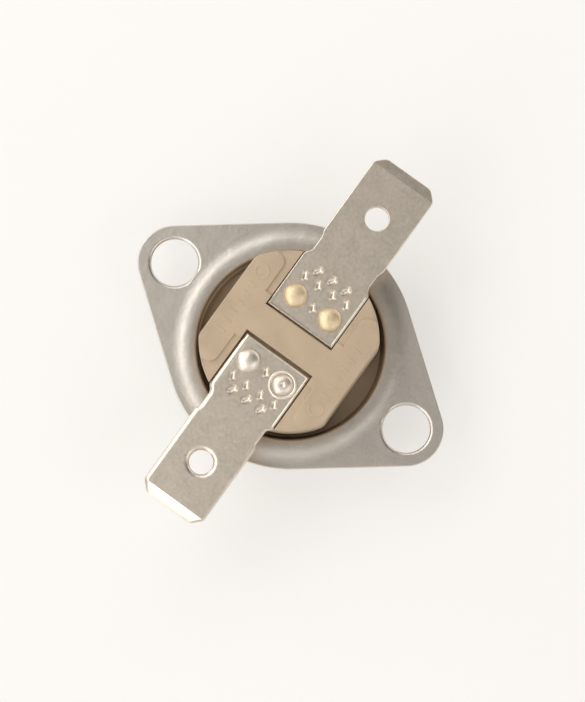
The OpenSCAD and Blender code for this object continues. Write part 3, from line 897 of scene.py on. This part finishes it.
class SWITCH_OT_rivets(bpy.types.Operator):
    """Model the four rivets and finish them in brass and bright tin plate"""

    bl_idname = "snap_switch.rivets"
    bl_label = "Rivets"

    def execute(self, context):
        size = in_mm(context.scene.switch_rivet)
        sheet = in_mm(context.scene.switch_terminal)
        body = in_mm(context.scene.switch_body)
        grip = sheet.sheet + body.pocket - body.ceiling
        finish = context.scene.switch_finish
        # Brass wire, cold-headed: warm yellow, with soft highlights that the upset metal breaks up
        brass = metal_sheet(
            "Brass, headed and bright", finish.brass, cloud_mm=0.7, grain_mm=0.18, spread=0.1,
            roughness=0.46, relief_mm=0.002, waves_mm=0.04,
        )
        # Tin plated over a headed rivet: pale, with clearer highlights than the brass
        plate = metal_sheet(
            "Tin plate, bright", finish.bright_plate, cloud_mm=0.7, grain_mm=0.2, spread=0.06,
            roughness=0.37, relief_mm=0.001, waves_mm=0.04,
        )
        bm = bmesh.new()
        for y in (-size.spread, size.spread):
            self.rivet(bm, size, (size.reach, y, sheet.top), grip + size.blade, False)
        piece(bm, "brass_rivets", ["arm_rivets"], brass)
        for name, node, y, spun in (
            ("domed_rivet", "carrier_rivet", size.spread, False),
            ("spun_rivet", "carrier_rivet_spun", -size.spread, True),
        ):
            bm = bmesh.new()
            self.rivet(bm, size, (-size.reach, y, sheet.top), grip + size.carrier, spun)
            piece(bm, name, [node], plate)
        return {"FINISHED"}

    def rivet(self, bm, size, place, grip, spun):
        """One rivet: a domed head, or a spun ring round a low dome with a crater, then a shank through
        the grip and a flat head below it."""
        turns = [math.pi / 2 * i / DOME_STEPS for i in range(DOME_STEPS + 1)]
        if spun:
            groove = size.head * SPUN_SHARE
            half = (size.rim - groove) / 2
            ring_turns = [math.pi * i / DOME_STEPS for i in range(DOME_STEPS + 1)]
            dome = [(size.rim, 0)] + [
                (groove + half * (1 + math.cos(a)), size.rim_sheet * (0.5 + math.sin(a)))
                for a in ring_turns
            ]
            crown = size.rise * SPUN_SHARE
            dome += [
                (size.crater + (groove - size.crater) * math.cos(a), crown * math.sin(a))
                for a in turns if crown * math.sin(a) > size.rim_sheet
            ]
            dome += [(size.crater * math.cos(a), crown - size.crater / 2 * math.sin(a)) for a in turns]
        else:
            dome = [(size.head * math.cos(a), size.rise * math.sin(a)) for a in turns]
        profile = [(0, -grip - size.tail_sheet), (size.tail, -grip - size.tail_sheet)]
        profile += [(size.tail, -grip), (size.shank, -grip), (size.shank, 0)] + dome
        corners = [(r, z, 0, 0, 0, 0) for r, z in profile]
        section = trace(bm, corners, Matrix.Translation(place) @ SECTION, closed=False)
        turned(bm, section, place, HOLE_STEPS)


class SWITCH_OT_mechanism(bpy.types.Operator):
    """Finish the pieces inside the body and put a copy of the spring blade in place of its CAD node"""

    bl_idname = "snap_switch.mechanism"
    bl_label = "Mechanism"

    def execute(self, context):
        finish = context.scene.switch_finish
        # Silver alloy buttons, turned: white and fairly bright
        silver = metal_sheet(
            "Silver alloy, turned", finish.silver, cloud_mm=0.6, grain_mm=0.1, spread=0.08,
            roughness=0.25, relief_mm=0.003,
        )
        finishes = {
            # Nickel-iron strip as it leaves the rolls: a dull yellowish grey
            "bimetal_disc": metal_sheet(
                "Bimetal strip, rolled", finish.bimetal, cloud_mm=2.0, grain_mm=0.12, spread=0.1,
                roughness=0.32, relief_mm=0.003,
            ),
            # Moulding compound with a dark filler: brown and dull
            "pin_guide": moulding("Brown phenolic, moulded", finish.guide, roughness=0.5),
            # Ceramic, pressed dry and fired without a glaze: off-white and satin
            "transfer_pin": moulding("Steatite, fired", finish.ceramic, roughness=0.4),
            # Brass strip as it leaves the rolls: yellow and fairly bright
            "contact_carrier": metal_sheet(
                "Brass strip, rolled", finish.carrier, cloud_mm=1.2, grain_mm=0.1, spread=0.1,
                roughness=0.3, relief_mm=0.003,
            ),
            "moving_contact": silver,
            "fixed_contact": silver,
        }
        for name, material in finishes.items():
            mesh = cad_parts[name].data
            mesh.materials.clear()
            mesh.materials.append(material)
        self.blade(context)
        return {"FINISHED"}

    def blade(self, context):
        """A copy of the blade, welded, with its flat faces joined and cut into triangles, that takes the
        place of the CAD blade.
        """
        bm = bmesh.new()
        bm.from_mesh(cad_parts["contact_arm"].data)
        bmesh.ops.remove_doubles(bm, verts=bm.verts, dist=WELD * MM)
        bmesh.ops.dissolve_limit(bm, angle_limit=ONE_FLAT, verts=bm.verts, edges=bm.edges)
        bmesh.ops.triangulate(bm, faces=bm.faces)
        mesh = bpy.data.meshes.new("spring_blade")
        bm.to_mesh(mesh)
        bm.free()
        # Copper alloy rolled hard for a spring: reddish and fairly bright
        mesh.materials.append(metal_sheet(
            "Copper alloy strip, rolled", context.scene.switch_finish.spring, cloud_mm=1.2,
            grain_mm=0.1, spread=0.1, roughness=0.28, relief_mm=0.003,
        ))
        made = bpy.data.objects.new("spring_blade", mesh)
        context.scene.collection.objects.link(made)
        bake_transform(made)
        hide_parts("contact_arm")


class SWITCH_OT_stage(bpy.types.Operator):
    """Set up the table, the soft lights and the camera above the switch"""

    bl_idname = "snap_switch.stage"
    bl_label = "Stage"

    def execute(self, context):
        scene = context.scene
        scene.view_settings.view_transform = "Standard"
        self.table(context)
        self.sky(context)
        # Each lamp aims at the switch, its width level and its height along the tilt
        for name, place, wide, tall, watts in (
            ("left softbox", (-0.152, 0.188, 0.384), 0.42, 0.22, 0.38),
            ("top softbox", (0.165, 0.195, 0.365), 0.20, 0.16, 0.11),
            ("front softbox", (0.01, -0.25, 0.385), 0.24, 0.16, 0.14),
            ("contact side strip", (-0.36, 0.04, 0.27), 0.12, 0.56, 0.28),
            ("back strip", (0.035, 0.38, 0.28), 0.11, 0.60, 0.40),
            ("arm side strip", (0.42, -0.09, 0.15), 0.34, 0.18, 0.16),
        ):
            lamp = bpy.data.lights.new(name, "AREA")
            lamp.shape = "RECTANGLE"
            lamp.size = wide
            lamp.size_y = tall
            lamp.energy = watts
            made = bpy.data.objects.new(name, lamp)
            made.location = place
            made.rotation_euler = (-Vector(place)).to_track_quat("-Z", "Y").to_euler()
            scene.collection.objects.link(made)
        self.camera(context)
        return {"FINISHED"}

    def table(self, context):
        """A matt pale table top under the sensing face."""
        bm = bmesh.new()
        bmesh.ops.create_grid(bm, x_segments=2, y_segments=2, size=3)
        mesh = bpy.data.meshes.new("table")
        bm.to_mesh(mesh)
        bm.free()
        # Laminate pressed against a matt plate: pale and even, without a clear reflection
        material, tree, shader = blank_material("Laminate, matt")
        place = add(tree, "ShaderNodeTexCoord").outputs["Object"]
        clouds = add(
            tree, "ShaderNodeTexNoise", {"Vector": place, "Scale": 1 / (30 * MM), "Detail": 2}
        )
        tint = add(tree, "ShaderNodeValToRGB", {"Fac": clouds.outputs["Fac"]})
        rgb = context.scene.switch_finish.floor
        for stop, factor in zip(tint.color_ramp.elements, (0.99, 1.01)):
            stop.color = shade(rgb, factor)
        tree.links.new(tint.outputs["Color"], shader.inputs["Base Color"])
        shader.inputs["Roughness"].default_value = 0.7
        self.lift(tree, shader, tint.outputs["Color"])
        mesh.materials.append(material)
        made = bpy.data.objects.new("table", mesh)
        made.location.z = -TABLE_GAP * MM
        context.scene.collection.objects.link(made)

    def lift(self, tree, shader, tint):
        """Shows the table close to its own colour, so that only soft shadows are left on it."""
        ray = add(tree, "ShaderNodeLightPath").outputs
        seen = add(
            tree, "ShaderNodeMath", {0: ray["Is Camera Ray"], 1: ray["Is Glossy Ray"]},
            operation="MAXIMUM",
        ).outputs["Value"]
        seen = add(
            tree, "ShaderNodeMath", {0: seen, 1: ray["Is Transmission Ray"]}, operation="MAXIMUM"
        ).outputs["Value"]
        share = add(
            tree, "ShaderNodeMath", {0: seen, 1: TABLE_GLOW}, operation="MULTIPLY"
        ).outputs["Value"]
        glow = add(tree, "ShaderNodeEmission", {"Color": tint, "Strength": 1})
        mixed = add(tree, "ShaderNodeMixShader", {
            "Fac": share, 1: shader.outputs["BSDF"], 2: glow.outputs["Emission"],
        })
        output = next(node for node in tree.nodes if node.type == "OUTPUT_MATERIAL")
        tree.links.new(mixed.outputs["Shader"], output.inputs["Surface"])

    def sky(self, context):
        """A white tent with a dim hole above the switch for the camera and an opening to one side."""
        world = bpy.data.worlds.new("studio")
        context.scene.world = world
        world.use_nodes = True
        tree = world.node_tree
        tree.nodes.clear()
        way = add(tree, "ShaderNodeTexCoord").outputs["Generated"]
        tones = []
        # The middle of the hole and of the opening, and their tones by the cosine of the angle from it
        for axis, stops in (
            ((0.055, 0.058, 0.997), (
                (0, "#D9D8D6"), (0.72, "#E1E0DE"), (0.974, "#E6E5E3"), (0.995, "#837D75"),
            )),
            ((0.500, -0.200, 0.843), ((0.905, "#FFFFFF"), (0.935, "#66615B"))),
        ):
            near = add(tree, "ShaderNodeVectorMath", {0: way, 1: axis}, operation="DOT_PRODUCT")
            tone = add(tree, "ShaderNodeValToRGB", {"Fac": near.outputs["Value"]})
            ramp = tone.color_ramp.elements
            for position, _ in stops[1:-1]:
                ramp.new(position)
            for stop, (position, code) in zip(ramp, stops):
                stop.position = position
                stop.color = linear(code) + [1]
            tones.append(tone.outputs["Color"])
        tent = add(
            tree, "ShaderNodeVectorMath", {0: tones[0], 1: tones[1]}, operation="MULTIPLY"
        ).outputs["Vector"]
        back = add(tree, "ShaderNodeBackground", {"Color": tent, "Strength": 1})
        add(tree, "ShaderNodeOutputWorld", {"Surface": back.outputs["Background"]})

    def camera(self, context):
        """A long lens almost straight above the switch, turned as the picture is."""
        lens = bpy.data.cameras.new("camera")
        lens.sensor_fit = "VERTICAL"
        lens.sensor_height = 36
        lens.lens = 148
        lens.clip_start = 0.01
        made = bpy.data.objects.new("camera", lens)
        place = Vector((-13.9, -14.9, 262)) * MM
        target = Vector((-0.6, -0.8, 12.4)) * MM
        back = (place - target).normalized()
        up = Vector((0.8107, 0.5854, 0))
        right = up.cross(back).normalized()
        axes = Matrix((right, back.cross(right), back)).transposed()
        made.matrix_world = Matrix.Translation(place) @ axes.to_4x4()
        context.scene.collection.objects.link(made)
        context.scene.camera = made


class SWITCH_PT_pieces(bpy.types.Panel):
    """The switch's pieces, sizes and finishes"""

    bl_label = "Snap-disc Switch"
    bl_idname = "SWITCH_PT_pieces"
    bl_space_type = "VIEW_3D"
    bl_region_type = "UI"
    bl_category = "Switch"

    def draw(self, context):
        for operator in OPERATORS:
            self.layout.operator(operator.bl_idname)
        for name, group in GROUPS.items():
            box = self.layout.box()
            for key in group.__annotations__:
                box.prop(getattr(context.scene, name), key)


OPERATORS = (
    SWITCH_OT_cup, SWITCH_OT_body, SWITCH_OT_terminals, SWITCH_OT_rivets, SWITCH_OT_mechanism,
    SWITCH_OT_stage,
)
CLASSES = (*GROUPS.values(), *OPERATORS, SWITCH_PT_pieces)


def register():
    for cls in CLASSES:
        bpy.utils.register_class(cls)
    for name, group in GROUPS.items():
        setattr(bpy.types.Scene, name, PointerProperty(type=group))


def unregister():
    for name in GROUPS:
        delattr(bpy.types.Scene, name)
    for cls in reversed(CLASSES):
        bpy.utils.unregister_class(cls)


def main():
    register()
    bpy.ops.snap_switch.cup()
    bpy.ops.snap_switch.body()
    bpy.ops.snap_switch.terminals()
    bpy.ops.snap_switch.rivets()
    bpy.ops.snap_switch.mechanism()
    bpy.ops.snap_switch.stage()


if __name__ == "__main__":
    main()
